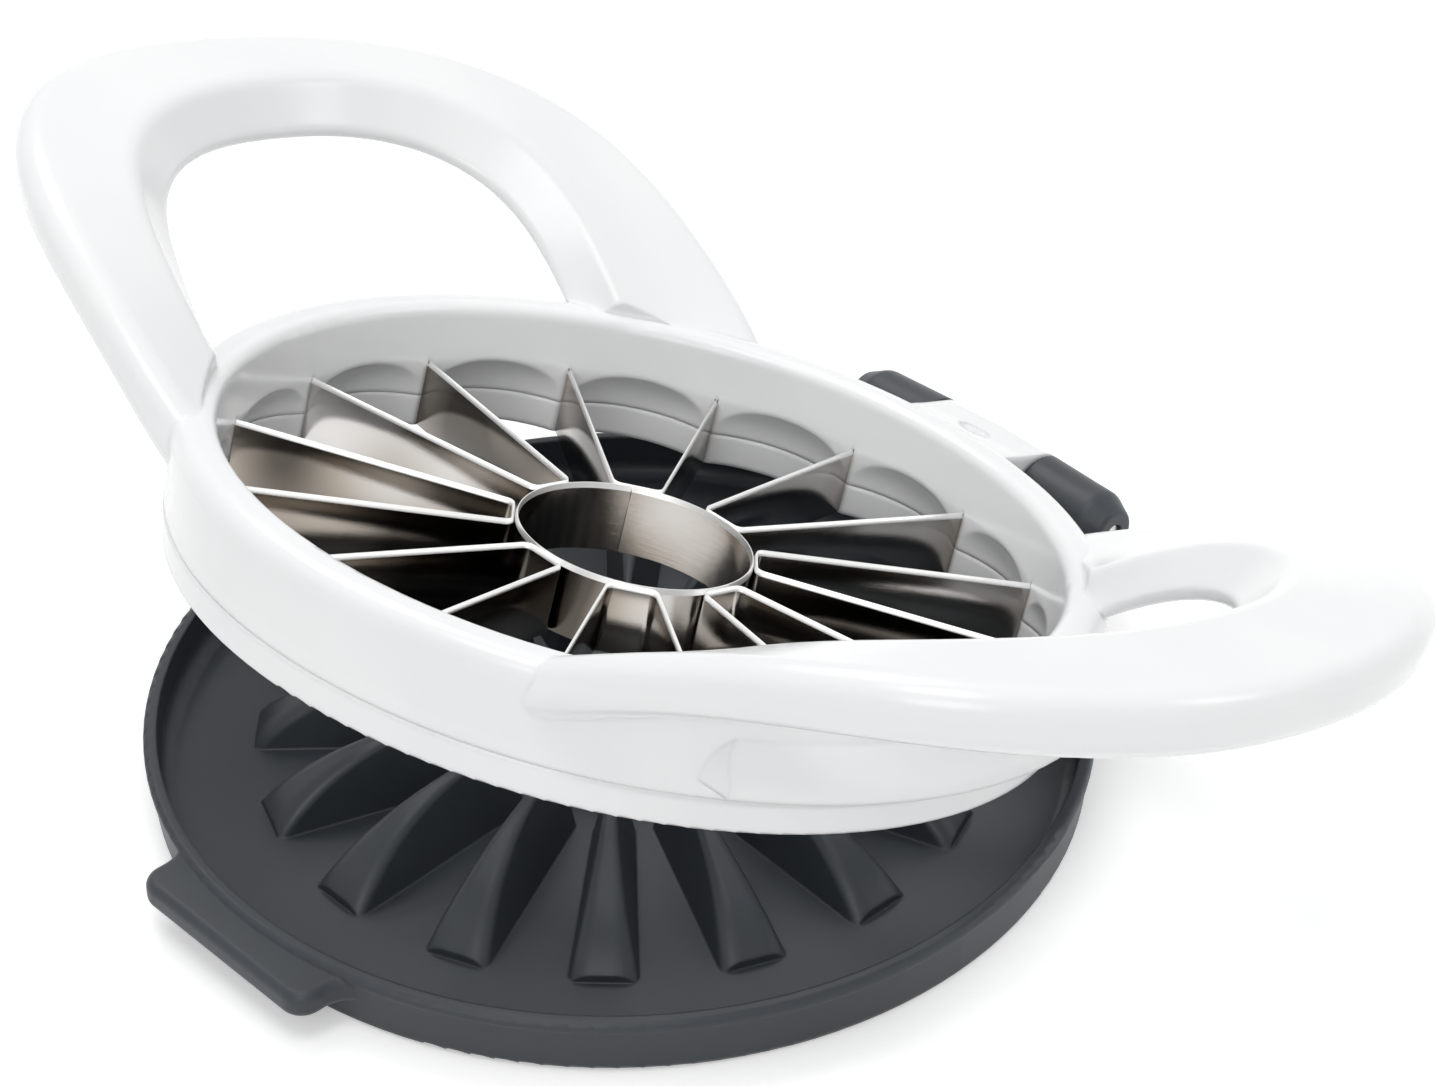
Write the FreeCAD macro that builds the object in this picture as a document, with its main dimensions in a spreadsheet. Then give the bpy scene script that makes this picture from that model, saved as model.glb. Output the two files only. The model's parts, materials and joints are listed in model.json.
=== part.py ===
import FreeCAD, Part
import math
import os

import Sketcher

# Apple slicer press. A white ring with two loop handles carries sixteen blades round a corer.
# A dark tray with ribs folds against it on a hinge, and the ribs lift the slices off the blades.
# Everything is drawn with the press folded flat on the tray, then the press is turned open.
# Origin: the centre of the tray's underside. X runs along the hinge, -Y points at the thumb tab.

os.makedirs("parts", exist_ok=True)
doc = FreeCAD.newDocument("apple_slicer_press")

# Driving dimensions in millimetres and degrees: name, number, meaning
dimensions = [
    ("tray_radius", 60.0, "outside of the tray's rim"),
    ("tray_rim_top", 8.0, "height of the tray's rim"),
    ("tray_rim_wall", 1.7, "thickness of the tray's rim"),
    ("tray_floor_top", 2.0, "thickness of the tray's floor"),
    ("tray_foot_inset", 0.9, "how far the tray's foot is inside its rim"),
    ("tray_foot_round", 1.0, "rounding of the tray's foot"),
    ("tray_floor_round", 2.0, "rounding between the tray's floor and rim"),
    ("tray_lip_drop", 1.6, "height of the lip round the rim"),
    ("tray_lip_step", 0.35, "step under that lip"),
    ("rib_height", 9.5, "height of the ribs above the floor"),
    ("rib_inner_radius", 18.5, "where the ribs start"),
    ("rib_crest_radius", 25.0, "where the ribs begin to curve down"),
    ("rib_outer_radius", 47.3, "where the ribs would meet the floor"),
    ("rib_inner_width", 5.6, "width of a rib's foot near the middle"),
    ("rib_outer_width", 9.0, "width of a rib's foot at its outer end"),
    ("rib_taper", 5.0, "how much narrower a rib is along its full height"),
    ("rib_round", 3.5, "rounding along the top of a rib, where it is widest"),
    ("rib_wall", 1.2, "wall of the hollow under a rib"),
    ("post_radius", 11.5, "radius of the post that lifts the core"),
    ("post_height", 7.5, "height of that post above the floor"),
    ("post_round", 2.5, "rounding of the post's edge"),
    ("tab_projection", 4.4, "how far the thumb tab stands out from the rim"),
    ("tab_width", 31.0, "width of the thumb tab"),
    ("tab_top", 7.2, "height of the thumb tab's face"),
    ("tab_thickness", 3.6, "thickness of the thumb tab"),
    ("tab_corner", 3.0, "rounding of the tab's outer corners"),
    ("tab_blend", 4.0, "blend between the tab and the rim"),
    ("tab_edge", 1.2, "rounding along the tab's edges"),
    ("hinge_offset", 7.0, "from the rim's outside to the hinge axis"),
    ("hinge_height", 12.2, "height of the hinge axis"),
    ("hinge_half_width", 23.2, "half the length over the knuckles"),
    ("barrel_half_width", 9.0, "half the length of the press's barrel"),
    ("barrel_gap", 0.5, "gap between barrel and knuckle"),
    ("barrel_radius", 5.6, "radius at the middle of the barrel"),
    ("knuckle_radius", 5.3, "radius where barrel and knuckle meet"),
    ("knuckle_end_radius", 3.3, "radius of the knuckle at its outer end"),
    ("knuckle_shoulder", 3.0, "length of the slope at the knuckle's outer end"),
    ("knuckle_round", 1.2, "rounding of the knuckle's outer end"),
    ("web_top_drop", 0.6, "how far the knuckle's web is below the rim"),
    ("pin_radius", 1.5, "radius of the hinge pin"),
    ("pin_clearance", 0.05, "play of the pin in the barrel"),
    ("pin_recess", 0.5, "how far the pin's ends are set back"),
    ("pin_chamfer", 0.3, "chamfer on the pin's ends"),
    ("open_angle", 17.6, "how far the press stands open"),
    ("ring_floor_gap", 0.4, "gap under the folded press"),
    ("ring_height", 17.0, "height of the press's ring"),
    ("lower_ring_height", 4.3, "height of the lower ring"),
    ("lower_ring_round", 0.6, "rounding of the lower ring's foot"),
    ("skirt_clearance", 0.8, "gap between the ring and the tray's rim"),
    ("skirt_draft", 0.5, "how much the lower ring narrows downwards"),
    ("rim_radius", 58.6, "outside of the press's rim"),
    ("rim_height", 2.6, "height of the rim's rounded top"),
    ("mouth_radius", 52.0, "inside of the ring at the blades"),
    ("mouth_flare", 1.2, "how much the mouth widens upwards"),
    ("rim_inner_round", 1.8, "rounding of the rim's inner edge"),
    ("rim_outer_round", 2.2, "rounding of the rim's outer edge"),
    ("seam_bevel", 0.3, "bevel along the seam of the two rings"),
    ("tongue_radius", 55.5, "inside of the tongue that joins the rings"),
    ("tongue_width", 0.9, "width of that tongue"),
    ("tongue_depth", 1.6, "depth of that tongue"),
    ("tongue_clearance", 0.1, "play round that tongue"),
    ("pair_count", 8, "number of folded blade strips"),
    ("blade_height", 9.2, "height of the blades"),
    ("blade_lift", 0.15, "blade edge above the ring's underside"),
    ("blade_thickness", 0.5, "thickness of the blade strip"),
    ("blade_seat", 2.6, "how far a blade runs into the ring"),
    ("blade_bend", 0.9, "inner radius of the blade's folds"),
    ("corer_radius", 15.1, "outside of the corer"),
    ("corer_wall", 0.5, "thickness of the corer strip"),
    ("corer_seam", 0.12, "width of the corer's seam"),
    ("pocket_radius", 15.2, "radius of the pockets between the blades"),
    ("pocket_depth", 2.4, "depth of those pockets"),
    ("pocket_rise", 1.4, "pocket top above the blade tops"),
    ("pocket_round", 6.0, "rounding of the pocket's top"),
    ("boss_wall_gap", 0.9, "gap between the boss and the tray's rim"),
    ("boss_root_inset", 4.0, "how deep the boss runs into the ring"),
    ("boss_root_drop", 0.9, "boss top below the rim's top"),
    ("boss_knee", 4.4, "from the hinge axis to the bend in the boss"),
    ("boss_knee_drop", 1.7, "height of that bend below the rim's top"),
    ("boss_crest_drop", 0.3, "boss top below the barrel's top"),
    ("boss_round", 4.0, "rounding of the bend in the boss"),
    ("dimple_length", 5.0, "length of the dimple on the boss"),
    ("dimple_width", 2.6, "width of that dimple"),
    ("dimple_depth", 0.6, "depth of that dimple"),
    ("handle_centre", 50.4, "from the axis to the middle of a handle's oval"),
    ("handle_reach", 97.8, "from the axis to the handle's end"),
    ("handle_half_breadth", 52.1, "half the handle's breadth"),
    ("handle_end_width", 16.2, "width of the handle at its end"),
    ("handle_leg_width", 14.0, "width of the handle's front leg"),
    ("handle_rear_width", 18.7, "width of the handle's rear leg"),
    ("handle_fullness", 2.3, "power of the handle's oval, 2 for an ellipse"),
    ("handle_top", 41.2, "height of the handle's end"),
    ("handle_drop", 11.6, "how fast the legs fall away"),
    ("handle_tilt", 1.7, "how far the legs lean inwards"),
    ("handle_shift", 2.1, "how far the handles sit towards the hinge"),
    ("handle_lean", 3.3, "how far the legs' underside stands inwards"),
    ("handle_spread", 2.0, "how far the legs' roots spread outwards again"),
    ("handle_inner_draft", 5.0, "how far the handle's inner wall slopes in"),
    ("handle_thickness", 8.0, "thickness of the handle"),
    ("handle_round", 3.0, "rounding of the handle's edges"),
    ("pad_half_breadth", 34.0, "half the breadth of the pads on the sides"),
    ("pad_projection", 2.8, "how far the pads stand out from the rim"),
    ("pad_top", 16.5, "height of the pads' upper edge"),
    ("pad_round", 6.0, "rounding of the pads' upper corners"),
]

sheet = doc.addObject("Spreadsheet::Sheet", "sizes")
size = {}
for row, (name, number, meaning) in enumerate(dimensions, start=1):
    sheet.set("A%d" % row, name)
    sheet.set("B%d" % row, str(number))
    sheet.set("C%d" % row, meaning)
    sheet.setAlias("B%d" % row, name)
    size[name] = float(number)
doc.recompute()

# Sizes that follow from others by more than a sum: their number and their expression
formulas = {}


def derive(name, number, formula):
    size[name] = number
    formulas[name] = "(" + formula + ")"


def value(text):
    """The number that a sum of named sizes stands for."""
    total = 0.0
    sign = 1.0
    for word in text.split():
        if word in ("+", "-"):
            sign = 1.0 if word == "+" else -1.0
            continue
        product = sign
        for factor in word.split("*"):
            product *= size[factor] if factor in size else float(factor)
        total += product
        sign = 1.0
    return total


def bound(text):
    """The same sum as an expression on the sheet."""
    words = []
    for word in text.split():
        factors = []
        for part in word.split("*"):
            named = "sizes." + part if part in size else part
            factors.append(formulas.get(part, named))
        words.append("*".join(factors))
    return " ".join(words)


def minus(text):
    """The same sum with every sign turned round."""
    words = text.split()
    if words[0] not in ("+", "-"):
        words.insert(0, "+")
    return " ".join({"+": "-", "-": "+"}.get(word, word) for word in words)


# Places that several pieces share
hinge_y = "tray_radius + hinge_offset"
rim_inside = "tray_radius - tray_rim_wall"
skirt = rim_inside + " - skirt_clearance"
ring_bottom = "tray_floor_top + ring_floor_gap"
seam = ring_bottom + " + lower_ring_height"
ring_top = ring_bottom + " + ring_height"
blade_bottom = ring_bottom + " + blade_lift"
blade_top = blade_bottom + " + blade_height"
boss_bottom = "tray_rim_top + boss_wall_gap"
half_bay = 90.0 / size["pair_count"]
derive("bay_cos", math.cos(math.radians(half_bay)), "cos(90/sizes.pair_count)")
derive("bay_sin", math.sin(math.radians(half_bay)), "sin(90/sizes.pair_count)")
derive("bay_tan", math.tan(math.radians(half_bay)), "tan(90/sizes.pair_count)")


def bind(thing, path, text):
    thing.setExpression(path, bound(text))


def new_body(label):
    body = doc.addObject("PartDesign::Body", label)
    body.Label = label
    return body


def origin_feature(body, role):
    return next(item for item in body.Origin.OriginFeatures if item.Role == role)


def new_sketch(body, name, role, offset=None, spin=0.0, shift=None):
    """A sketch on a main plane: offset along its normal, spin about the upright, shift along X."""
    sketch = body.newObject("Sketcher::SketchObject", name)
    sketch.AttachmentSupport = [(origin_feature(body, role), "")]
    sketch.MapMode = "FlatFace"
    upright = FreeCAD.Vector(0, 0, 1) if role == "XY_Plane" else FreeCAD.Vector(0, 1, 0)
    start = FreeCAD.Vector(value(shift) if shift else 0, 0, value(offset) if offset else 0)
    sketch.AttachmentOffset = FreeCAD.Placement(start, FreeCAD.Rotation(upright, spin))
    if offset:
        bind(sketch, "AttachmentOffset.Base.z", offset)
    if shift:
        bind(sketch, "AttachmentOffset.Base.x", shift)
    return sketch


def hold_point(sketch, geometry, end, x, y):
    """Hold a point at two sums of named sizes."""
    for kind, axis, text in (("DistanceX", -2, x), ("DistanceY", -1, y)):
        if text == "0":
            sketch.addConstraint(Sketcher.Constraint("PointOnObject", geometry, end, axis))
        else:
            rule = Sketcher.Constraint(kind, -1, 1, geometry, end, value(text))
            bind(sketch, "Constraints[%d]" % sketch.addConstraint(rule), text)


def draw_outline(sketch, corners):
    """A closed outline through corners (x, y) or (x, y, radius), each a sum of named sizes."""
    places = [FreeCAD.Vector(value(corner[0]), value(corner[1]), 0) for corner in corners]
    radii = [value(corner[2]) if len(corner) > 2 else 0.0 for corner in corners]
    count = len(corners)
    arrive, leave, arcs = [], [], {}
    for i, here in enumerate(places):
        back = (places[i - 1] - here).normalize()
        ahead = (places[(i + 1) % count] - here).normalize()
        if radii[i] == 0.0:
            arrive.append(here)
            leave.append(here)
            continue
        half = 0.5 * back.getAngle(ahead)
        run = radii[i] / math.tan(half)
        arrive.append(here + back * run)
        leave.append(here + ahead * run)
        centre = here + (back + ahead).normalize() * (radii[i] / math.sin(half))
        left_turn = ahead.cross(back).z > 0
        first, last = (arrive[i], leave[i]) if left_turn else (leave[i], arrive[i])
        start = math.atan2(first.y - centre.y, first.x - centre.x)
        stop = math.atan2(last.y - centre.y, last.x - centre.x)
        circle = Part.Circle(centre, FreeCAD.Vector(0, 0, 1), radii[i])
        arcs[i] = (Part.ArcOfCircle(circle, start, stop), left_turn)
    lines = []
    for i in range(count):
        segment = Part.LineSegment(leave[i], arrive[(i + 1) % count])
        lines.append(sketch.addGeometry(segment, False))
    for i in range(count):
        before, after = lines[i - 1], lines[i]
        if i not in arcs:
            sketch.addConstraint(Sketcher.Constraint("Coincident", before, 2, after, 1))
            hold_point(sketch, after, 1, corners[i][0], corners[i][1])
            continue
        arc, left_turn = arcs[i]
        bend = sketch.addGeometry(arc, False)
        near, far = (1, 2) if left_turn else (2, 1)
        sketch.addConstraint(Sketcher.Constraint("Tangent", before, 2, bend, near))
        sketch.addConstraint(Sketcher.Constraint("Tangent", bend, far, after, 1))
        rule = sketch.addConstraint(Sketcher.Constraint("Radius", bend, radii[i]))
        bind(sketch, "Constraints[%d]" % rule, corners[i][2])
        corner = sketch.addGeometry(Part.Point(places[i]), True)
        sketch.addConstraint(Sketcher.Constraint("PointOnObject", corner, 1, before))
        sketch.addConstraint(Sketcher.Constraint("PointOnObject", corner, 1, after))
        hold_point(sketch, corner, 1, corners[i][0], corners[i][1])


def draw_axis(sketch, x1, y1, x2, y2):
    """A construction line to turn the outline about."""
    ends = FreeCAD.Vector(value(x1), value(y1), 0), FreeCAD.Vector(value(x2), value(y2), 0)
    line = sketch.addGeometry(Part.LineSegment(*ends), True)
    hold_point(sketch, line, 1, x1, y1)
    hold_point(sketch, line, 2, x2, y2)


def turn(body, name, kind, sketch, axis="V_Axis"):
    """Turn a sketch round a full circle, adding or cutting."""
    feature = body.newObject("PartDesign::" + kind, name)
    feature.Profile = sketch
    feature.ReferenceAxis = (sketch, [axis])
    feature.Angle = 360.0
    doc.recompute()
    return feature


def extrude(body, name, kind, sketch, length, symmetric=False, upwards=False):
    """Push a sketch out to a length, adding or cutting."""
    feature = body.newObject("PartDesign::" + kind, name)
    feature.Profile = sketch
    bind(feature, "Length", length)
    if symmetric:
        feature.SideType = "Symmetric"
    feature.Reversed = upwards
    doc.recompute()
    return feature


def loft(body, name, kind, sketches):
    feature = body.newObject("PartDesign::" + kind, name)
    feature.Profile = sketches[0]
    feature.Sections = sketches[1:]
    doc.recompute()
    return feature


def repeat_round(body, name, feature):
    """Repeat a feature once for each bay between the blades."""
    pattern = body.newObject("PartDesign::PolarPattern", name)
    pattern.Originals = [feature]
    pattern.Axis = (origin_feature(body, "Z_Axis"), [""])
    pattern.Angle = 360.0
    pattern.setExpression("Occurrences", "2*sizes.pair_count")
    body.Tip = pattern
    doc.recompute()
    return pattern


def mirror_across(body, name, feature):
    """Repeat a feature on the other side of the YZ plane."""
    mirror = body.newObject("PartDesign::Mirrored", name)
    mirror.Originals = [feature]
    mirror.MirrorPlane = (origin_feature(body, "YZ_Plane"), [""])
    body.Tip = mirror
    doc.recompute()
    return mirror


def draw_bore(body, name, radius):
    """A round hole through the hinge, along its axis."""
    bore = new_sketch(body, name + "_circle", "YZ_Plane")
    centre = FreeCAD.Vector(value(hinge_y), size["hinge_height"], 0)
    circle = bore.addGeometry(Part.Circle(centre, FreeCAD.Vector(0, 0, 1), value(radius)), False)
    rule = bore.addConstraint(Sketcher.Constraint("Radius", circle, value(radius)))
    bind(bore, "Constraints[%d]" % rule, radius)
    hold_point(bore, circle, 3, hinge_y, "hinge_height")
    return extrude(body, name, "Pocket", bore, "4*hinge_half_width", symmetric=True)


def cut_pockets(body, name):
    """The round pockets in the ring, one between each two blades."""
    middle = "mouth_radius + pocket_depth - pocket_radius"
    edge = "mouth_radius + pocket_depth"
    top = blade_top + " + pocket_rise"
    outline = new_sketch(body, name + "_outline", "XZ_Plane")
    draw_axis(outline, middle, "0", middle, top)
    draw_outline(outline, [
        (middle, "0"),
        (edge, "0"),
        (edge, top, "pocket_round"),
        (middle, top),
    ])
    pocket = turn(body, name, "Groove", outline, "Axis0")
    return repeat_round(body, name + "_round", pocket)


def cut_slots(body, name):
    """The slots that hold the blades' outer ends."""
    plan = new_sketch(body, name + "_plan", "XY_Plane", blade_bottom, spin=half_bay)
    draw_outline(plan, [
        ("mouth_radius - pocket_depth", "- 0.5*blade_thickness"),
        ("mouth_radius + blade_seat", "- 0.5*blade_thickness"),
        ("mouth_radius + blade_seat", "0.5*blade_thickness"),
        ("mouth_radius - pocket_depth", "0.5*blade_thickness"),
    ])
    slot = extrude(body, name, "Pocket", plan, "blade_height", upwards=True)
    return repeat_round(body, name + "_round", slot)


def open_press(thing):
    """Turn a piece of the press open about the hinge."""
    axis_point = FreeCAD.Vector(0, value(hinge_y), size["hinge_height"])
    swing = FreeCAD.Rotation(FreeCAD.Vector(1, 0, 0), -size["open_angle"])
    thing.Placement = FreeCAD.Placement(FreeCAD.Vector(0, 0, 0), swing, axis_point)


# The tray: first the thumb tab, with all its edges rounded while it stands alone
tray = new_body("base_tray")
tab = new_sketch(tray, "tab_plan", "XY_Plane", "tab_top - tab_thickness")
tab_side = "0.5*tab_width"
draw_outline(tab, [
    ("- 0.47*tray_radius", "- 0.6*tray_radius"),
    ("- 0.47*tray_radius", "- 0.87*tray_radius"),
    (minus(tab_side), "- 0.96*tray_radius", "tab_blend"),
    (minus(tab_side), "- tray_radius - tab_projection", "tab_corner"),
    (tab_side, "- tray_radius - tab_projection", "tab_corner"),
    (tab_side, "- 0.96*tray_radius", "tab_blend"),
    ("0.47*tray_radius", "- 0.87*tray_radius"),
    ("0.47*tray_radius", "- 0.6*tray_radius"),
])
tab_plate = extrude(tray, "tab_plate", "Pad", tab, "tab_thickness")
tab_edges = []
for i, edge in enumerate(tab_plate.Shape.Edges):
    if edge.BoundBox.ZLength < 0.01:
        tab_edges.append("Edge%d" % (i + 1))
tab_rounding = tray.newObject("PartDesign::Fillet", "tab_rounding")
tab_rounding.Base = (tab_plate, tab_edges)
bind(tab_rounding, "Radius", "tab_edge")
doc.recompute()

# The dish of the tray, with a small lip round its rim
disc = new_sketch(tray, "disc_outline", "XZ_Plane")
draw_outline(disc, [
    ("0", "0"),
    ("tray_radius - tray_foot_inset", "0", "tray_foot_round"),
    ("tray_radius - tray_lip_step", "tray_rim_top - tray_lip_drop"),
    ("tray_radius", "tray_rim_top - tray_lip_drop + tray_lip_step"),
    ("tray_radius", "tray_rim_top", "0.45*tray_rim_wall"),
    ("0", "tray_rim_top"),
])
turn(tray, "disc", "Revolution", disc)

# The webs that carry the hinge's knuckles
web = new_sketch(tray, "web_outline", "YZ_Plane", "barrel_half_width + barrel_gap")
draw_outline(web, [
    ("0.8*tray_radius", "0"),
    (hinge_y + " - knuckle_radius", "0", "tray_floor_round"),
    (hinge_y + " + 0.7*knuckle_end_radius", "hinge_height - 0.7*knuckle_end_radius"),
    (hinge_y, "hinge_height"),
    (hinge_y + " - 0.7*knuckle_end_radius", "tray_rim_top - web_top_drop"),
    ("0.8*tray_radius", "tray_rim_top - web_top_drop"),
])
web_length = "hinge_half_width - knuckle_round - barrel_half_width - barrel_gap"
web_plate = extrude(tray, "web", "Pad", web, web_length)
mirror_across(tray, "web_twin", web_plate)

dish = new_sketch(tray, "dish_outline", "XZ_Plane")
draw_outline(dish, [
    ("0", "2*tray_rim_top"),
    ("0", "tray_floor_top"),
    (rim_inside, "tray_floor_top", "tray_floor_round"),
    (rim_inside, "2*tray_rim_top"),
])
turn(tray, "dish", "Groove", dish)

post = new_sketch(tray, "post_outline", "XZ_Plane")
draw_outline(post, [
    ("0", "0.5*tray_floor_top"),
    ("post_radius", "0.5*tray_floor_top"),
    ("post_radius", "tray_floor_top + post_height", "post_round"),
    ("0", "tray_floor_top + post_height"),
])
turn(tray, "post", "Revolution", post)

knuckle = new_sketch(tray, "knuckle_outline", "XY_Plane", "hinge_height")
draw_axis(knuckle, "0", hinge_y, "hinge_half_width", hinge_y)
draw_outline(knuckle, [
    ("barrel_half_width + barrel_gap", hinge_y),
    ("hinge_half_width", hinge_y),
    ("hinge_half_width", hinge_y + " + knuckle_end_radius", "0.6*knuckle_round"),
    ("hinge_half_width - knuckle_shoulder", hinge_y + " + 0.92*knuckle_radius", "2*knuckle_round"),
    ("barrel_half_width + barrel_gap", hinge_y + " + knuckle_radius"),
])
knuckle_turned = turn(tray, "knuckle", "Revolution", knuckle, "Axis0")
mirror_across(tray, "knuckle_twin", knuckle_turned)
draw_bore(tray, "knuckle_bore", "pin_radius")

# The ribs: wedges with slanting flanks, whose crest comes down to the floor in an arc
crest_share = value("rib_crest_radius - rib_inner_radius") / value("rib_outer_radius - rib_inner_radius")
rib_arc = 60.0


def rib_width(share, growth, height):
    """A share of a rib's width, at a growth along it and a height up it."""
    shares = (share * (1 - growth), share * growth, share * height)
    return "%.4f*rib_inner_width + %.4f*rib_outer_width - %.4f*rib_taper" % shares


def rib_section(name, along, height, growth, hollow=False):
    """One upright section of a rib or of the hollow under it."""
    foot_half = rib_width(0.5, growth, 0)
    crest_half = rib_width(0.5, growth, height)
    crest = "tray_floor_top + %.4f*rib_height" % height
    curve = "%.4f*rib_round" % (value(crest_half) / value("0.5*rib_outer_width"))
    foot = "0.5*tray_floor_top"
    if hollow:
        foot_half += " - rib_wall"
        crest_half = rib_width(0.25, growth, height)
        crest += " - 2*rib_wall"
        curve = "0.3*rib_wall"
        foot = "- tray_floor_top"
    sketch = new_sketch(tray, name, "YZ_Plane", along)
    draw_outline(sketch, [
        (minus(foot_half), foot),
        (foot_half, foot),
        (crest_half, crest, curve),
        (minus(crest_half), crest, curve),
    ])
    return sketch


def rib_sections(name, angles, hollow=False):
    """Sections along the curved end of the rib."""
    sections = []
    end_sine = math.sin(math.radians(rib_arc))
    end_cosine = math.cos(math.radians(rib_arc))
    for index, degrees in enumerate(angles):
        out = math.sin(math.radians(degrees)) / end_sine
        along = "%.4f*rib_crest_radius + %.4f*rib_outer_radius" % (1 - out, out)
        growth = crest_share + (1 - crest_share) * out
        height = (math.cos(math.radians(degrees)) - end_cosine) / (1 - end_cosine)
        sections.append(rib_section("%s_%d" % (name, index), along, height, growth, hollow))
    return sections


rib_start = rib_section("rib_start", "rib_inner_radius", 0.97, 0.0)
rib = loft(tray, "rib", "AdditiveLoft", [rib_start] + rib_sections("rib_section", (0, 14, 27, 38, 48, 56)))
repeat_round(tray, "ribs", rib)
hollow = loft(tray, "rib_hollow", "SubtractiveLoft", rib_sections("hollow_section", (5, 18, 30, 42), True))
repeat_round(tray, "rib_hollows", hollow)

# The hinge pin: pressed into the tray's knuckles, free in the press's barrel
pin = new_body("hinge_pin")
pin_outline = new_sketch(pin, "pin_outline", "XY_Plane", "hinge_height")
draw_axis(pin_outline, "0", hinge_y, "hinge_half_width", hinge_y)
pin_end = "hinge_half_width - pin_recess"
draw_outline(pin_outline, [
    (minus(pin_end), hinge_y),
    (pin_end, hinge_y),
    (pin_end, hinge_y + " + pin_radius - pin_chamfer"),
    (pin_end + " - pin_chamfer", hinge_y + " + pin_radius"),
    (minus(pin_end + " - pin_chamfer"), hinge_y + " + pin_radius"),
    (minus(pin_end), hinge_y + " + pin_radius - pin_chamfer"),
])
turn(pin, "pin", "Revolution", pin_outline, "Axis0")

# The press's frame: pads on its sides, as a bar whose middle is cut away later
frame = new_body("upper_frame")
pad_edge = "rim_radius + pad_projection"
bar = new_sketch(frame, "pad_outline", "YZ_Plane")
draw_outline(bar, [
    ("- pad_half_breadth", boss_bottom),
    ("pad_half_breadth", boss_bottom),
    ("pad_half_breadth", "pad_top", "pad_round"),
    ("- pad_half_breadth", "pad_top", "pad_round"),
])
extrude(frame, "pads", "Pad", bar, "2.2*rim_radius", symmetric=True)
pad_trim = new_sketch(frame, "pad_trim_outline", "XZ_Plane")
draw_outline(pad_trim, [
    (pad_edge, "0"),
    ("1.5*rim_radius", "0"),
    ("1.5*rim_radius", "2*pad_top"),
    ("rim_radius - 0.5*pad_projection", "2*pad_top"),
    ("rim_radius - 0.5*pad_projection", "pad_top"),
    (pad_edge, "pad_top - 2*pad_projection", "pad_projection"),
])
turn(frame, "pad_trim", "Groove", pad_trim)

# The ring itself
ring = new_sketch(frame, "ring_outline", "XZ_Plane")
draw_outline(ring, [
    ("0", seam),
    (skirt + " - seam_bevel", seam),
    (skirt, seam + " + seam_bevel"),
    (skirt, boss_bottom),
    ("rim_radius", ring_top + " - rim_height"),
    ("rim_radius - 0.2*rim_outer_round", ring_top, "rim_outer_round"),
    ("0", ring_top),
])
turn(frame, "ring", "Revolution", ring)

# The boss that reaches from the ring to the hinge
boss = new_sketch(frame, "boss_outline", "YZ_Plane")
boss_root = "rim_radius - boss_root_inset"
draw_outline(boss, [
    (boss_root, boss_bottom),
    (hinge_y, boss_bottom),
    (hinge_y, "hinge_height + barrel_radius - boss_crest_drop"),
    (hinge_y + " - boss_knee", ring_top + " - boss_knee_drop", "boss_round"),
    (boss_root, ring_top + " - boss_root_drop"),
])
extrude(frame, "boss", "Pad", boss, "2*barrel_half_width", symmetric=True)
dimple = frame.newObject("PartDesign::SubtractiveEllipsoid", "dimple")
dimple.AttachmentSupport = [(origin_feature(frame, "XY_Plane"), "")]
dimple.MapMode = "FlatFace"
bind(dimple, "AttachmentOffset.Base.y", hinge_y + " - boss_knee")
bind(dimple, "AttachmentOffset.Base.z", ring_top + " - boss_knee_drop")
bind(dimple, "Radius1", "2*dimple_depth")
bind(dimple, "Radius2", "0.5*dimple_length")
bind(dimple, "Radius3", "0.5*dimple_width")

# The handles: each a loft through sections that fan out from the middle of its oval
handle_angles = (-118, -104, -88, -70, -52, -35, -18, 0, 18, 35, 52, 70, 88, 104, 118)


def oval_reach(name, degrees, long_half, broad_half):
    """How far an oval reaches in one direction, from its middle."""
    along = abs(math.cos(math.radians(degrees)))
    across = abs(math.sin(math.radians(degrees)))
    power = size["handle_fullness"]
    total = (along / value(long_half)) ** power + (across / value(broad_half)) ** power
    terms = (along, bound(long_half), across, bound(broad_half))
    inside = "(%.5f/(%s))^sizes.handle_fullness + (%.5f/(%s))^sizes.handle_fullness" % terms
    derive(name, total ** (-1 / power), "(%s)^(-1/sizes.handle_fullness)" % inside)


def handle_section(index, degrees):
    outer = "handle_outer_%d" % index
    inner = "handle_inner_%d" % index
    oval_reach(outer, degrees, "handle_reach - handle_centre", "handle_half_breadth")
    leg_width = "handle_rear_width" if degrees > 0 else "handle_leg_width"
    oval_reach(inner, degrees, "handle_reach - handle_centre - handle_end_width",
               "handle_half_breadth - " + leg_width)
    fall = 1 - math.cos(math.radians(degrees))
    outer_top = "handle_top - %.4f*handle_drop" % fall ** 2
    inner_top = outer_top + " - %.4f*handle_tilt" % fall
    lean = " - %.4f*handle_lean + %.4f*handle_spread" % (fall, fall ** 4)
    sketch = new_sketch(frame, "handle_section_%d" % index, "XZ_Plane", "- handle_shift", degrees,
                        "handle_centre")
    draw_outline(sketch, [
        (inner + lean + " - handle_inner_draft", inner_top + " - handle_thickness", "0.4*handle_round"),
        (outer + lean, outer_top + " - handle_thickness", "handle_round"),
        (outer, outer_top, "handle_round"),
        (inner, inner_top, "handle_round"),
    ])
    return sketch


handle = loft(frame, "handle", "AdditiveLoft",
              [handle_section(index, degrees) for index, degrees in enumerate(handle_angles)])
mirror_across(frame, "handle_twin", handle)

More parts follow.
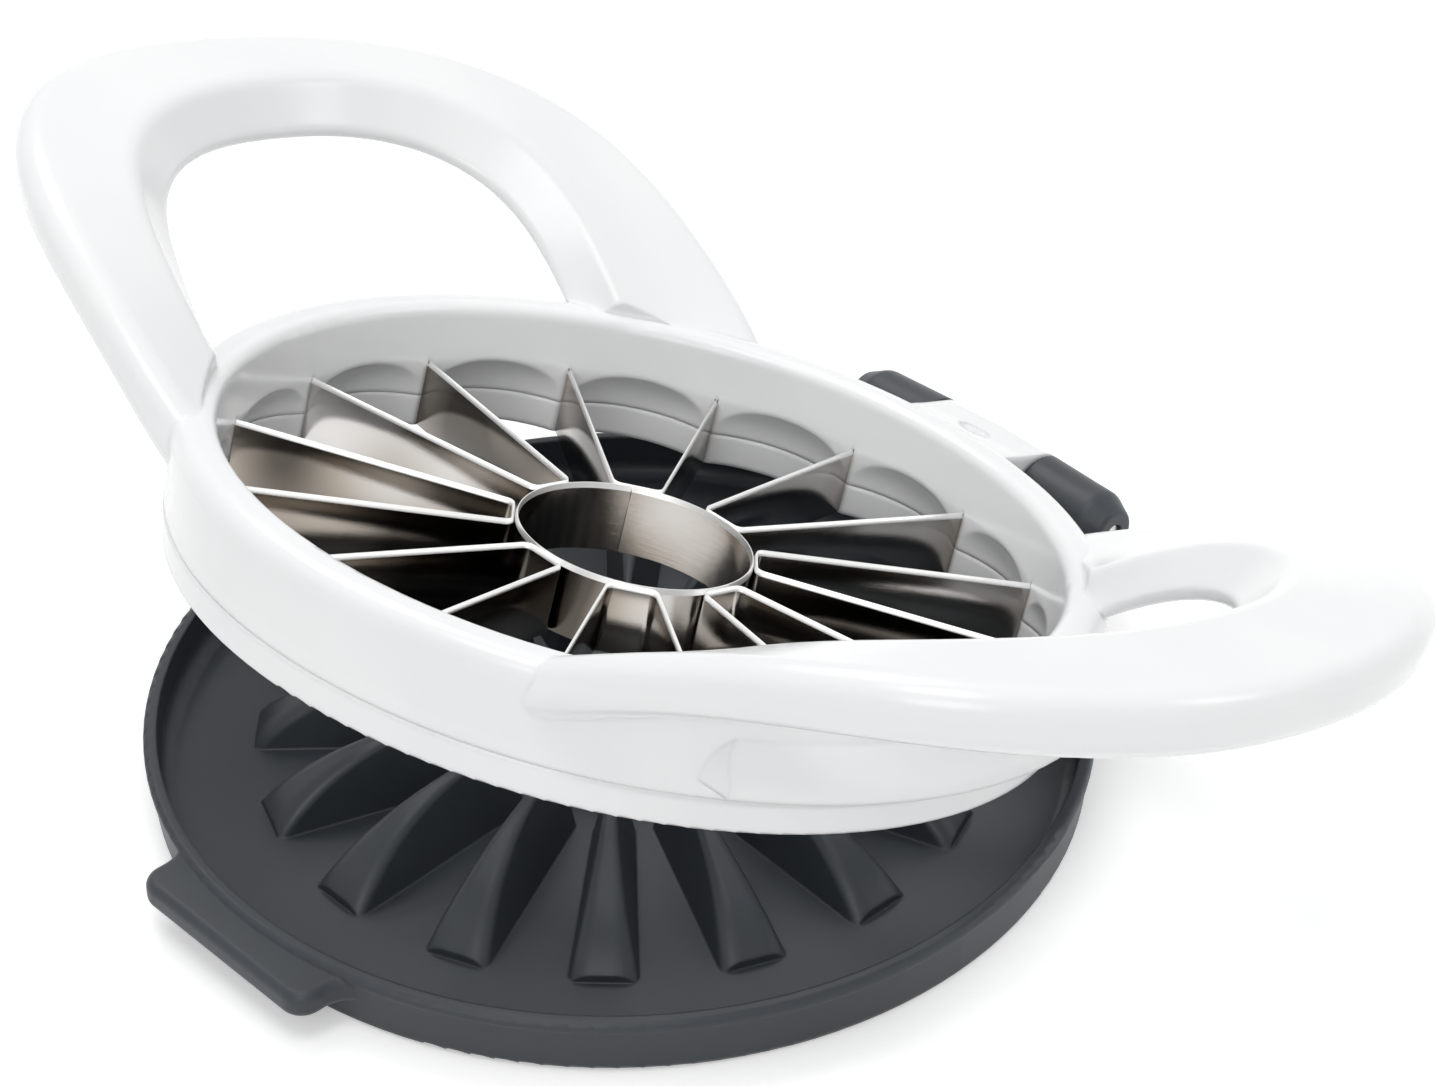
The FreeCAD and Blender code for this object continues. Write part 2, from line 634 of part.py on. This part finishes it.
# Nothing of the frame reaches below the seam, or down onto the tray's rim
under = new_sketch(frame, "underside_outline", "XZ_Plane")
draw_outline(under, [
    ("0", "- tray_rim_top"),
    ("2*handle_reach", "- tray_rim_top"),
    ("2*handle_reach", boss_bottom),
    (skirt, boss_bottom),
    (skirt, seam),
    ("0", seam),
])
turn(frame, "underside", "Groove", under)

barrel = new_sketch(frame, "barrel_outline", "XY_Plane", "hinge_height")
draw_axis(barrel, "0", hinge_y, "hinge_half_width", hinge_y)
draw_outline(barrel, [
    ("- barrel_half_width", hinge_y),
    ("barrel_half_width", hinge_y),
    ("barrel_half_width", hinge_y + " + knuckle_radius"),
    ("0", hinge_y + " + barrel_radius", "6*barrel_half_width"),
    ("- barrel_half_width", hinge_y + " + knuckle_radius"),
])
turn(frame, "barrel", "Revolution", barrel, "Axis0")

mouth = new_sketch(frame, "mouth_outline", "XZ_Plane")
draw_outline(mouth, [
    ("0", "0"),
    ("mouth_radius", "0"),
    ("mouth_radius", blade_top),
    ("mouth_radius + mouth_flare", ring_top, "rim_inner_round"),
    ("mouth_radius + mouth_flare + rim_inner_round", ring_top),
    ("mouth_radius + mouth_flare + rim_inner_round", "2*handle_top"),
    ("0", "2*handle_top"),
])
turn(frame, "mouth", "Groove", mouth)
cut_pockets(frame, "frame_pocket")
cut_slots(frame, "frame_slot")

tongue = new_sketch(frame, "tongue_outline", "XZ_Plane")
draw_outline(tongue, [
    ("tongue_radius", seam + " - tongue_depth"),
    ("tongue_radius + tongue_width", seam + " - tongue_depth"),
    ("tongue_radius + tongue_width", seam + " + tongue_depth"),
    ("tongue_radius", seam + " + tongue_depth"),
])
turn(frame, "tongue", "Revolution", tongue)
draw_bore(frame, "barrel_bore", "pin_radius + pin_clearance")
open_press(frame)

# The lower ring, which closes the slots round the blades
lower = new_body("lower_ring")
lower_outline = new_sketch(lower, "lower_outline", "XZ_Plane")
groove_inside = "tongue_radius - tongue_clearance"
groove_outside = "tongue_radius + tongue_width + tongue_clearance"
groove_floor = seam + " - tongue_depth - tongue_clearance"
draw_outline(lower_outline, [
    ("mouth_radius", ring_bottom),
    (skirt + " - skirt_draft", ring_bottom, "lower_ring_round"),
    (skirt, seam + " - seam_bevel"),
    (skirt + " - seam_bevel", seam),
    (groove_outside, seam),
    (groove_outside, groove_floor),
    (groove_inside, groove_floor),
    (groove_inside, seam),
    ("mouth_radius", seam),
])
turn(lower, "lower", "Revolution", lower_outline)
cut_pockets(lower, "lower_pocket")
cut_slots(lower, "lower_slot")
open_press(lower)

# The corer: a strip rolled into a ring, with its seam towards the hinge
corer = new_body("corer_ring")
corer_outline = new_sketch(corer, "corer_outline", "XZ_Plane")
draw_outline(corer_outline, [
    ("corer_radius - corer_wall", blade_bottom),
    ("corer_radius", blade_bottom),
    ("corer_radius", blade_top),
    ("corer_radius - corer_wall", blade_top),
])
turn(corer, "corer", "Revolution", corer_outline)
corer_seam_angle = 48.0
seam_plan = new_sketch(corer, "corer_seam_plan", "XY_Plane", blade_bottom, spin=corer_seam_angle)
draw_outline(seam_plan, [
    ("- 0.5*corer_seam", "0.5*corer_radius"),
    ("0.5*corer_seam", "0.5*corer_radius"),
    ("0.5*corer_seam", "1.5*corer_radius"),
    ("- 0.5*corer_seam", "1.5*corer_radius"),
])
extrude(corer, "corer_seam_cut", "Pocket", seam_plan, "blade_height", upwards=True)
open_press(corer)

# The blades: strips folded like hairpins, two blades joined by a web against the corer
blade_end = "mouth_radius + blade_seat"
end_along = "bay_cos*mouth_radius + bay_cos*blade_seat"
end_across = "bay_sin*mouth_radius + bay_sin*blade_seat"
half_sheet = "0.5*blade_thickness"
skew = size["blade_thickness"] / 2 / size["bay_cos"]
derive("blade_skew", skew, "0.5*sizes.blade_thickness/cos(90/sizes.pair_count)")
web_front = "corer_radius"
web_back = "corer_radius + blade_thickness"
front_corner = "bay_tan*corer_radius + blade_skew"
back_corner = "bay_tan*corer_radius + bay_tan*blade_thickness - blade_skew"
outer_end = (end_along + " - 0.5*bay_sin*blade_thickness", end_across + " + 0.5*bay_cos*blade_thickness")
inner_end = (end_along + " + 0.5*bay_sin*blade_thickness", end_across + " - 0.5*bay_cos*blade_thickness")
for pair in range(int(size["pair_count"])):
    strip = new_body("blade_pair_%d" % (pair + 1))
    plan = new_sketch(strip, "blade_plan", "XY_Plane", blade_bottom, spin=4 * half_bay * pair)
    draw_outline(plan, [
        (outer_end[0], minus(outer_end[1])),
        (inner_end[0], minus(inner_end[1])),
        (web_back, minus(back_corner), "blade_bend"),
        (web_back, back_corner, "blade_bend"),
        inner_end,
        outer_end,
        (web_front, front_corner, "blade_bend + blade_thickness"),
        (web_front, minus(front_corner), "blade_bend + blade_thickness"),
    ])
    extrude(strip, "blade_strip", "Pad", plan, "blade_height")
    open_press(strip)

# Every object has to be sound before any piece is written
doc.recompute()
for item in doc.Objects:
    faults = [state for state in item.State if state in ("Invalid", "Error")]
    if faults:
        raise RuntimeError("%s: %s" % (item.Name, faults))
pieces = [item for item in doc.Objects if item.TypeId == "PartDesign::Body"]
for piece in pieces:
    shape = piece.Shape
    if shape.isNull() or not shape.isValid() or len(shape.Solids) != 1:
        raise RuntimeError("%s isn't one sound solid" % piece.Label)
for piece in pieces:
    piece.Shape.exportStep(os.path.join("parts", piece.Label + ".step"))
print("%d pieces written" % len(pieces))
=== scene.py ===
import bpy, json, math
from mathutils import Matrix, Vector


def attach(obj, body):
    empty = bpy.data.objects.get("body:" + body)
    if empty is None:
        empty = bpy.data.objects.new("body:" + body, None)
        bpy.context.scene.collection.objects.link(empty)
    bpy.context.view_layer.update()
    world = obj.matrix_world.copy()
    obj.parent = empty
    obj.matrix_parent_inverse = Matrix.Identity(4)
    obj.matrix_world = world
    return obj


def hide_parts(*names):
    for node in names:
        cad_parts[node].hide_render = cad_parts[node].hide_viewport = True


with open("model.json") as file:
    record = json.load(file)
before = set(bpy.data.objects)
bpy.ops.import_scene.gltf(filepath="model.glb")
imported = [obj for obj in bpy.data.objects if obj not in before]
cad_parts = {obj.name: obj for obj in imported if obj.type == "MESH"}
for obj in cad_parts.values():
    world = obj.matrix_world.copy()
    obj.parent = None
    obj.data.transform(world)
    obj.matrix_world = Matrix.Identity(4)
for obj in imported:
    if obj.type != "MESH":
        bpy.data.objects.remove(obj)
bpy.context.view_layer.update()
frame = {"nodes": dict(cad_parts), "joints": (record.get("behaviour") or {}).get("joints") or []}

# Apple slicer press: finishes for the moulded pieces, swept steel for the blades, and a studio

nodes = frame["nodes"]
hinge = frame["joints"][0]
hingePlace = Vector(hinge["pos_m"])
openAngle = math.radians(-hinge["range_deg"][0])  # the press stands this far open
openPress = (Matrix.Translation(hingePlace) @ Matrix.Rotation(-openAngle, 4, "X")
             @ Matrix.Translation(-hingePlace))


# helpers for materials, and the values that several materials share

shared = {
    "plasticIor": 1.5,
    "noiseRange": (0.3, 0.7),   # the part of a noise that is used
    "bevelSamples": 8,
}


def newMaterial(name):
    material = bpy.data.materials.new(name)
    material.use_nodes = True
    tree = material.node_tree
    tree.nodes.clear()
    output = tree.nodes.new("ShaderNodeOutputMaterial")
    shader = tree.nodes.new("ShaderNodeBsdfPrincipled")
    tree.links.new(shader.outputs["BSDF"], output.inputs["Surface"])
    return material, tree, shader


def objectCoordinates(tree, stretch=(1, 1, 1)):
    coordinates = tree.nodes.new("ShaderNodeTexCoord")
    mapping = tree.nodes.new("ShaderNodeMapping")
    mapping.inputs["Scale"].default_value = stretch
    tree.links.new(coordinates.outputs["Object"], mapping.inputs["Vector"])
    return mapping.outputs["Vector"]


def noise(tree, vector, scale, detail=2.0, roughness=0.5):
    texture = tree.nodes.new("ShaderNodeTexNoise")
    texture.inputs["Scale"].default_value = scale
    texture.inputs["Detail"].default_value = detail
    texture.inputs["Roughness"].default_value = roughness
    tree.links.new(vector, texture.inputs["Vector"])
    return texture.outputs["Fac"]


def remap(tree, value, low, high, outLow, outHigh):
    node = tree.nodes.new("ShaderNodeMapRange")
    node.inputs["From Min"].default_value = low
    node.inputs["From Max"].default_value = high
    node.inputs["To Min"].default_value = outLow
    node.inputs["To Max"].default_value = outHigh
    tree.links.new(value, node.inputs["Value"])
    return node.outputs["Result"]


def ramp(tree, value, stops):
    node = tree.nodes.new("ShaderNodeValToRGB")
    elements = node.color_ramp.elements
    while len(elements) < len(stops):
        elements.new(0.5)
    for element, (place, colour) in zip(elements, stops):
        element.position = place
        element.color = (*colour, 1)
    tree.links.new(value, node.inputs["Fac"])
    return node.outputs["Color"]


def bump(tree, shader, height, strength, distance, softness=0.0):
    node = tree.nodes.new("ShaderNodeBump")
    node.inputs["Strength"].default_value = strength
    node.inputs["Distance"].default_value = distance
    tree.links.new(height, node.inputs["Height"])
    if softness:  # rounds the look of corners and creases
        soften = tree.nodes.new("ShaderNodeBevel")
        soften.samples = shared["bevelSamples"]
        soften.inputs["Radius"].default_value = softness
        tree.links.new(soften.outputs["Normal"], node.inputs["Normal"])
    tree.links.new(node.outputs["Normal"], shader.inputs["Normal"])


# white moulded plastic of the press

whitePlastic = {
    "colour": (0.84, 0.845, 0.85),
    "shade": (0.81, 0.815, 0.825),
    "roughness": (0.17, 0.24),
    "grain": 500.0,
    "waviness": 35.0,
    "stops": (0.35, 0.65),
    "wave": (0.08, 0.0002),     # strength and depth
    "softness": 0.0011,
}


def makeWhitePlastic():
    material, tree, shader = newMaterial("whitePlastic")
    place = objectCoordinates(tree)
    broad = noise(tree, place, whitePlastic["waviness"], 2)
    fine = noise(tree, place, whitePlastic["grain"], 3)
    tints = (whitePlastic["shade"], whitePlastic["colour"])
    colour = ramp(tree, broad, list(zip(whitePlastic["stops"], tints)))
    tree.links.new(colour, shader.inputs["Base Color"])
    rough = remap(tree, fine, *shared["noiseRange"], *whitePlastic["roughness"])
    tree.links.new(rough, shader.inputs["Roughness"])
    shader.inputs["IOR"].default_value = shared["plasticIor"]
    bump(tree, shader, broad, *whitePlastic["wave"], whitePlastic["softness"])
    return material


# dark satin plastic of the tray

darkPlastic = {
    "colour": (0.026, 0.031, 0.037),
    "pale": (0.034, 0.040, 0.048),
    "roughness": (0.40, 0.47),
    "shine": 0.42,
    "grain": 1500.0,
    "grainDepth": (0.18, 0.00006),   # strength and depth
    "cloud": 60.0,
    "softness": 0.0005,
}


def makeDarkPlastic():
    material, tree, shader = newMaterial("darkPlastic")
    place = objectCoordinates(tree)
    cloud = noise(tree, place, darkPlastic["cloud"], 3)
    grain = noise(tree, place, darkPlastic["grain"], 4, 0.6)
    tints = (darkPlastic["colour"], darkPlastic["pale"])
    colour = ramp(tree, cloud, list(zip(shared["noiseRange"], tints)))
    tree.links.new(colour, shader.inputs["Base Color"])
    rough = remap(tree, cloud, *shared["noiseRange"], *darkPlastic["roughness"])
    tree.links.new(rough, shader.inputs["Roughness"])
    shader.inputs["IOR"].default_value = shared["plasticIor"]
    shader.inputs["Specular IOR Level"].default_value = darkPlastic["shine"]
    bump(tree, shader, grain, *darkPlastic["grainDepth"], darkPlastic["softness"])
    return material


# pale end of the hinge pin

pinSteel = {
    "colour": (0.62, 0.60, 0.58),
    "roughness": (0.22, 0.38),
    "turning": 2500.0,
    "turningDepth": (0.1, 0.00005),   # strength and depth
}


def makePinSteel():
    material, tree, shader = newMaterial("pinSteel")
    rings = noise(tree, objectCoordinates(tree), pinSteel["turning"], 2)
    shader.inputs["Base Color"].default_value = (*pinSteel["colour"], 1)
    shader.inputs["Metallic"].default_value = 1.0
    rough = remap(tree, rings, *shared["noiseRange"], *pinSteel["roughness"])
    tree.links.new(rough, shader.inputs["Roughness"])
    bump(tree, shader, rings, *pinSteel["turningDepth"])
    return material


# brushed steel of the blades, with painted reflection bands in its colour and a bright ground edge
# along the top

bladeSteel = {
    "colour": (0.60, 0.585, 0.57),
    # painted reflection bands: the dark, warm and pale tones that the cloud noise spreads over the
    # steel
    "reflectionBandWarm": (0.33, 0.295, 0.255),
    "dark": (0.085, 0.075, 0.065),
    "cloud": 34.0,
    "reflectionBandStops": (0.36, 0.48, 0.62),   # dark, warm, pale
    "ground": (0.86, 0.86, 0.85),
    "roughness": (0.10, 0.20),
    "groundRoughness": 0.40,
    "groundBlur": 0.00003,
    "anisotropy": 0.4,
    "scratches": 26000.0,   # across the strip, per metre
    "scratchRun": 160.0,    # along the strip
    "scratchDepth": (0.12, 0.00003),   # strength and depth
}


def makeBladeSteel(strip):
    material, tree, shader = newMaterial("bladeSteel")
    along = tree.nodes.new("ShaderNodeAttribute")
    along.attribute_name = "stripAlong"
    up = tree.nodes.new("ShaderNodeAttribute")
    up.attribute_name = "stripUp"
    lined = tree.nodes.new("ShaderNodeCombineXYZ")
    tree.links.new(along.outputs["Fac"], lined.inputs["X"])
    tree.links.new(up.outputs["Fac"], lined.inputs["Y"])
    mapping = tree.nodes.new("ShaderNodeMapping")
    mapping.inputs["Scale"].default_value = (bladeSteel["scratchRun"], bladeSteel["scratches"], 1)
    tree.links.new(lined.outputs["Vector"], mapping.inputs["Vector"])
    brushed = noise(tree, mapping.outputs["Vector"], 1.0, 3, 0.6)
    # painted reflections: a slow cloud noise spreads dark, warm and pale bands over the steel's colour
    cloud = noise(tree, objectCoordinates(tree), bladeSteel["cloud"], 1)
    tints = (bladeSteel["dark"], bladeSteel["reflectionBandWarm"], bladeSteel["colour"])
    reflectionBandColour = ramp(tree, cloud, list(zip(bladeSteel["reflectionBandStops"], tints)))
    edgeStart, blur = strip["height"] - strip["ground"], bladeSteel["groundBlur"]
    edge = remap(tree, up.outputs["Fac"], edgeStart - blur, edgeStart + blur, 0, 1)
    mix = tree.nodes.new("ShaderNodeMix")
    mix.data_type = "RGBA"
    tree.links.new(edge, mix.inputs["Factor"])
    tree.links.new(reflectionBandColour, mix.inputs["A"])
    mix.inputs["B"].default_value = (*bladeSteel["ground"], 1)
    tree.links.new(mix.outputs["Result"], shader.inputs["Base Color"])
    shader.inputs["Metallic"].default_value = 1.0
    shader.inputs["Anisotropic"].default_value = bladeSteel["anisotropy"]
    rough = remap(tree, brushed, *shared["noiseRange"], *bladeSteel["roughness"])
    roughMix = tree.nodes.new("ShaderNodeMix")
    tree.links.new(edge, roughMix.inputs["Factor"])
    tree.links.new(rough, roughMix.inputs["A"])
    roughMix.inputs["B"].default_value = bladeSteel["groundRoughness"]
    tree.links.new(roughMix.outputs["Result"], shader.inputs["Roughness"])
    bump(tree, shader, brushed, *bladeSteel["scratchDepth"])
    return material


# blade strips and corer: a profile with a ground top edge, swept along a folded or rolled path

bladeStrip = {
    "pairs": 8,
    "thickness": 0.0005,
    "height": 0.0092,
    "bottom": 0.00255,     # above the table, with the press folded
    "ground": 0.0007,      # height of the ground edge
    "land": 0.00012,       # width left at the very edge
    "footRound": 0.00006,
    "corerRadius": 0.0151,
    "reach": 0.0546,
    "bend": 0.00115,
    "bendSteps": 8,
}
corerStrip = {
    "radius": 0.01485,
    "seamAngle": 138.0,
    "seamGap": 0.00012,
    "steps": 120,
    "flatTilt": 0.1,       # faces that tilt more than this are shaded flat
}


def stripProfile():
    # half widths and heights up the strip; the sweep turns a profile upside down
    half, foot = bladeStrip["thickness"] / 2, bladeStrip["footRound"]
    levels = [(half - foot, 0.0), (half, foot), (half, bladeStrip["height"] - bladeStrip["ground"]),
              (bladeStrip["land"] / 2, bladeStrip["height"])]
    ring = [(x, -y, 0) for x, y in levels] + [(-x, -y, 0) for x, y in reversed(levels)]
    mesh = bpy.data.meshes.new("stripProfile")
    mesh.from_pydata(ring, [(i, (i + 1) % len(ring)) for i in range(len(ring))], [])
    return mesh


def linePath(name, points):
    mesh = bpy.data.meshes.new(name)
    mesh.from_pydata(points, [(i, i + 1) for i in range(len(points) - 1)], [])
    return mesh


def stripTree():
    tree = bpy.data.node_groups.new("sweptStrip", "GeometryNodeTree")
    face = tree.interface
    face.new_socket("Geometry", in_out="INPUT", socket_type="NodeSocketGeometry")
    profile = face.new_socket("Profile", in_out="INPUT", socket_type="NodeSocketObject")
    bend = face.new_socket("Bend", in_out="INPUT", socket_type="NodeSocketFloat")
    steps = face.new_socket("Bend Steps", in_out="INPUT", socket_type="NodeSocketInt")
    steel = face.new_socket("Steel", in_out="INPUT", socket_type="NodeSocketMaterial")
    face.new_socket("Geometry", in_out="OUTPUT", socket_type="NodeSocketGeometry")
    new, link = tree.nodes.new, tree.links.new
    source, result = new("NodeGroupInput"), new("NodeGroupOutput")
    path = new("GeometryNodeMeshToCurve")
    link(source.outputs["Geometry"], path.inputs["Mesh"])
    fillet = new("GeometryNodeFilletCurve")
    fillet.mode = "POLY"
    link(path.outputs["Curve"], fillet.inputs["Curve"])
    link(source.outputs["Bend"], fillet.inputs["Radius"])
    link(source.outputs["Bend Steps"], fillet.inputs["Count"])
    upright = new("GeometryNodeSetCurveNormal")
    upright.mode = "Z_UP"
    link(fillet.outputs["Curve"], upright.inputs["Curve"])
    parameter = new("GeometryNodeSplineParameter")
    along = new("GeometryNodeStoreNamedAttribute")
    along.inputs["Name"].default_value = "stripAlong"
    link(upright.outputs["Curve"], along.inputs["Geometry"])
    link(parameter.outputs["Length"], along.inputs["Value"])
    shape = new("GeometryNodeObjectInfo")
    link(source.outputs["Profile"], shape.inputs["Object"])
    ring = new("GeometryNodeMeshToCurve")
    link(shape.outputs["Geometry"], ring.inputs["Mesh"])
    position = new("GeometryNodeInputPosition")
    split = new("ShaderNodeSeparateXYZ")
    link(position.outputs["Position"], split.inputs["Vector"])
    up = new("GeometryNodeStoreNamedAttribute")
    up.inputs["Name"].default_value = "stripUp"
    link(ring.outputs["Curve"], up.inputs["Geometry"])
    upwards = new("ShaderNodeMath")
    upwards.operation = "MULTIPLY"
    upwards.inputs[1].default_value = -1.0
    link(split.outputs["Y"], upwards.inputs[0])
    link(upwards.outputs["Value"], up.inputs["Value"])
    sweep = new("GeometryNodeCurveToMesh")
    sweep.inputs["Fill Caps"].default_value = True
    link(along.outputs["Geometry"], sweep.inputs["Curve"])
    link(up.outputs["Geometry"], sweep.inputs["Profile Curve"])
    real = new("GeometryNodeRealizeInstances")
    link(sweep.outputs["Mesh"], real.inputs["Geometry"])
    coat = new("GeometryNodeSetMaterial")
    link(real.outputs["Geometry"], coat.inputs["Geometry"])
    link(source.outputs["Steel"], coat.inputs["Material"])
    link(coat.outputs["Geometry"], result.inputs["Geometry"])
    return tree, [socket.identifier for socket in (profile, bend, steps, steel)]


def sweepStrip(name, pathMesh, profileObject, tree, sockets, bend, steel):
    source = bpy.data.objects.new(name + "Path", pathMesh)
    bpy.context.scene.collection.objects.link(source)
    modifier = source.modifiers.new("sweep", "NODES")
    modifier.node_group = tree
    values = (profileObject, bend, bladeStrip["bendSteps"], steel)
    for socket, value in zip(sockets, values):
        modifier[socket] = value
    depsgraph = bpy.context.evaluated_depsgraph_get()
    mesh = bpy.data.meshes.new_from_object(source.evaluated_get(depsgraph))
    source.modifiers.remove(modifier)
    bpy.data.objects.remove(source)
    piece = bpy.data.objects.new(name, mesh)
    bpy.context.scene.collection.objects.link(piece)
    return piece


def placeOnPress(piece, turn=0.0):
    lift = Matrix.Translation((0, 0, bladeStrip["bottom"]))
    piece.data.transform(openPress @ Matrix.Rotation(turn, 4, "Z") @ lift)
    piece.data.update()


def makeBlades():
    steel = makeBladeSteel(bladeStrip)
    profileObject = bpy.data.objects.new("stripProfile", stripProfile())
    bpy.context.scene.collection.objects.link(profileObject)
    tree, sockets = stripTree()
    halfBay = math.pi / (2 * bladeStrip["pairs"])
    web = bladeStrip["corerRadius"] + bladeStrip["thickness"] / 2
    foldY = web * math.tan(halfBay)
    end = (bladeStrip["reach"] * math.cos(halfBay), bladeStrip["reach"] * math.sin(halfBay))
    for pair in range(bladeStrip["pairs"]):
        points = [(end[0], -end[1], 0), (web, -foldY, 0), (web, foldY, 0), (end[0], end[1], 0)]
        piece = sweepStrip("bladeStrip%d" % (pair + 1), linePath("path", points), profileObject,
                           tree, sockets, bladeStrip["bend"], steel)
        placeOnPress(piece, 4 * halfBay * pair)
        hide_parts("blade_pair_%d" % (pair + 1))
        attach(piece, "frame")
    radius, gap = corerStrip["radius"], corerStrip["seamGap"] / corerStrip["radius"]
    start = math.radians(corerStrip["seamAngle"]) + gap / 2
    sweepAngle = 2 * math.pi - gap
    points = []
    for step in range(corerStrip["steps"] + 1):
        angle = start + sweepAngle * step / corerStrip["steps"]
        points.append((radius * math.cos(angle), radius * math.sin(angle), 0))
    piece = sweepStrip("corerStrip", linePath("corerPath", points), profileObject,
                       tree, sockets, 0.0, steel)
    for polygon in piece.data.polygons:
        polygon.use_smooth = abs(polygon.normal.z) < corerStrip["flatTilt"]
    placeOnPress(piece)
    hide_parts("corer_ring")
    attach(piece, "frame")
    bpy.data.objects.remove(profileObject)
    print("blades and corer made")


def finishCad():
    white, dark, pin = makeWhitePlastic(), makeDarkPlastic(), makePinSteel()
    finish = {"upper_frame": white, "lower_ring": white, "base_tray": dark, "hinge_pin": pin}
    for name, material in finish.items():
        node = nodes[name]
        node.data.materials.clear()
        node.data.materials.append(material)
    print("cad pieces finished")


# floor, light and camera

studio = {
    "floorSize": 6.0,
    "floorColour": (0.90, 0.90, 0.90),
    "floorRoughness": 0.55,
    "floorShine": 0.2,
    "floorGlow": 0.30,          # seen only by the camera and in reflections
    "backdropStrength": 1.0,    # seen only by the camera and in reflections
    "skyTop": 0.75,
    "skySide": 0.30,
    "skyHeight": 0.8,
}
lights = [
    # name, place, aim, size, watts
    ("keyLight", (-0.75, 0.35, 1.25), (0, 0, 0.03), 0.8, 5.5),
    ("topLight", (0.15, -0.25, 1.4), (0, 0, 0.03), 0.6, 3.5),
    ("fillLight", (0.75, -0.95, 0.85), (0, 0, 0.03), 0.7, 4.0),
    ("rimLight", (0.9, 1.1, 0.8), (0, 0, 0.03), 0.5, 2.0),
]
cameraView = {
    "place": (0.281716, -0.251030, 0.306585),
    "target": (-0.004839, 0.022647, 0.018337),
    "roll": 0.078,
    "lens": 94.51,
    "sensor": 36.0,
    "nearest": 0.01,
}


def aim(thing, place, target, roll=0.0):
    direction = Vector(target) - Vector(place)
    turn = direction.to_track_quat("-Z", "Y").to_matrix().to_4x4()
    thing.matrix_world = Matrix.Translation(place) @ turn @ Matrix.Rotation(math.radians(roll), 4, "Z")


def seenDirectly(tree):
    # 1 for rays from the camera, off a mirror or through glass, 0 for the light on the object
    rays = tree.nodes.new("ShaderNodeLightPath")
    total = rays.outputs["Is Camera Ray"]
    for name in ("Is Glossy Ray", "Is Transmission Ray"):
        larger = tree.nodes.new("ShaderNodeMath")
        larger.operation = "MAXIMUM"
        tree.links.new(total, larger.inputs[0])
        tree.links.new(rays.outputs[name], larger.inputs[1])
        total = larger.outputs["Value"]
    return total


def makeFloor():
    half = studio["floorSize"] / 2
    mesh = bpy.data.meshes.new("floor")
    mesh.from_pydata([(-half, -half, 0), (half, -half, 0), (half, half, 0), (-half, half, 0)], [],
                     [(0, 1, 2, 3)])
    floor = bpy.data.objects.new("floor", mesh)
    bpy.context.scene.collection.objects.link(floor)
    material, tree, shader = newMaterial("floorPaint")
    shader.inputs["Base Color"].default_value = (*studio["floorColour"], 1)
    shader.inputs["Roughness"].default_value = studio["floorRoughness"]
    shader.inputs["Specular IOR Level"].default_value = studio["floorShine"]
    shader.inputs["Emission Color"].default_value = (1, 1, 1, 1)
    glow = remap(tree, seenDirectly(tree), 0, 1, 0, studio["floorGlow"])
    tree.links.new(glow, shader.inputs["Emission Strength"])
    mesh.materials.append(material)


def makeWorld():
    world = bpy.data.worlds.new("studioWorld")
    bpy.context.scene.world = world
    world.use_nodes = True
    tree = world.node_tree
    background = tree.nodes["Background"]
    background.inputs["Color"].default_value = (1, 1, 1, 1)
    direction = tree.nodes.new("ShaderNodeTexCoord")
    split = tree.nodes.new("ShaderNodeSeparateXYZ")
    tree.links.new(direction.outputs["Generated"], split.inputs["Vector"])
    sky = remap(tree, split.outputs["Z"], 0.0, studio["skyHeight"], studio["skySide"], studio["skyTop"])
    mix = tree.nodes.new("ShaderNodeMix")
    tree.links.new(seenDirectly(tree), mix.inputs["Factor"])
    tree.links.new(sky, mix.inputs["A"])
    mix.inputs["B"].default_value = studio["backdropStrength"]
    tree.links.new(mix.outputs["Result"], background.inputs["Strength"])


def makeStudio():
    scene = bpy.context.scene
    makeFloor()
    makeWorld()
    for name, place, target, size, watts in lights:
        data = bpy.data.lights.new(name, "AREA")
        data.shape = "DISK"
        data.size = size
        data.energy = watts
        light = bpy.data.objects.new(name, data)
        scene.collection.objects.link(light)
        aim(light, place, target)
    cameraData = bpy.data.cameras.new("camera")
    cameraData.lens = cameraView["lens"]
    cameraData.sensor_width = cameraView["sensor"]
    cameraData.clip_start = cameraView["nearest"]
    camera = bpy.data.objects.new("camera", cameraData)
    scene.collection.objects.link(camera)
    aim(camera, cameraView["place"], cameraView["target"], cameraView["roll"])
    scene.camera = camera
    scene.view_settings.view_transform = "Standard"
    print("studio made")


finishCad()
makeBlades()
makeStudio()
print("done")
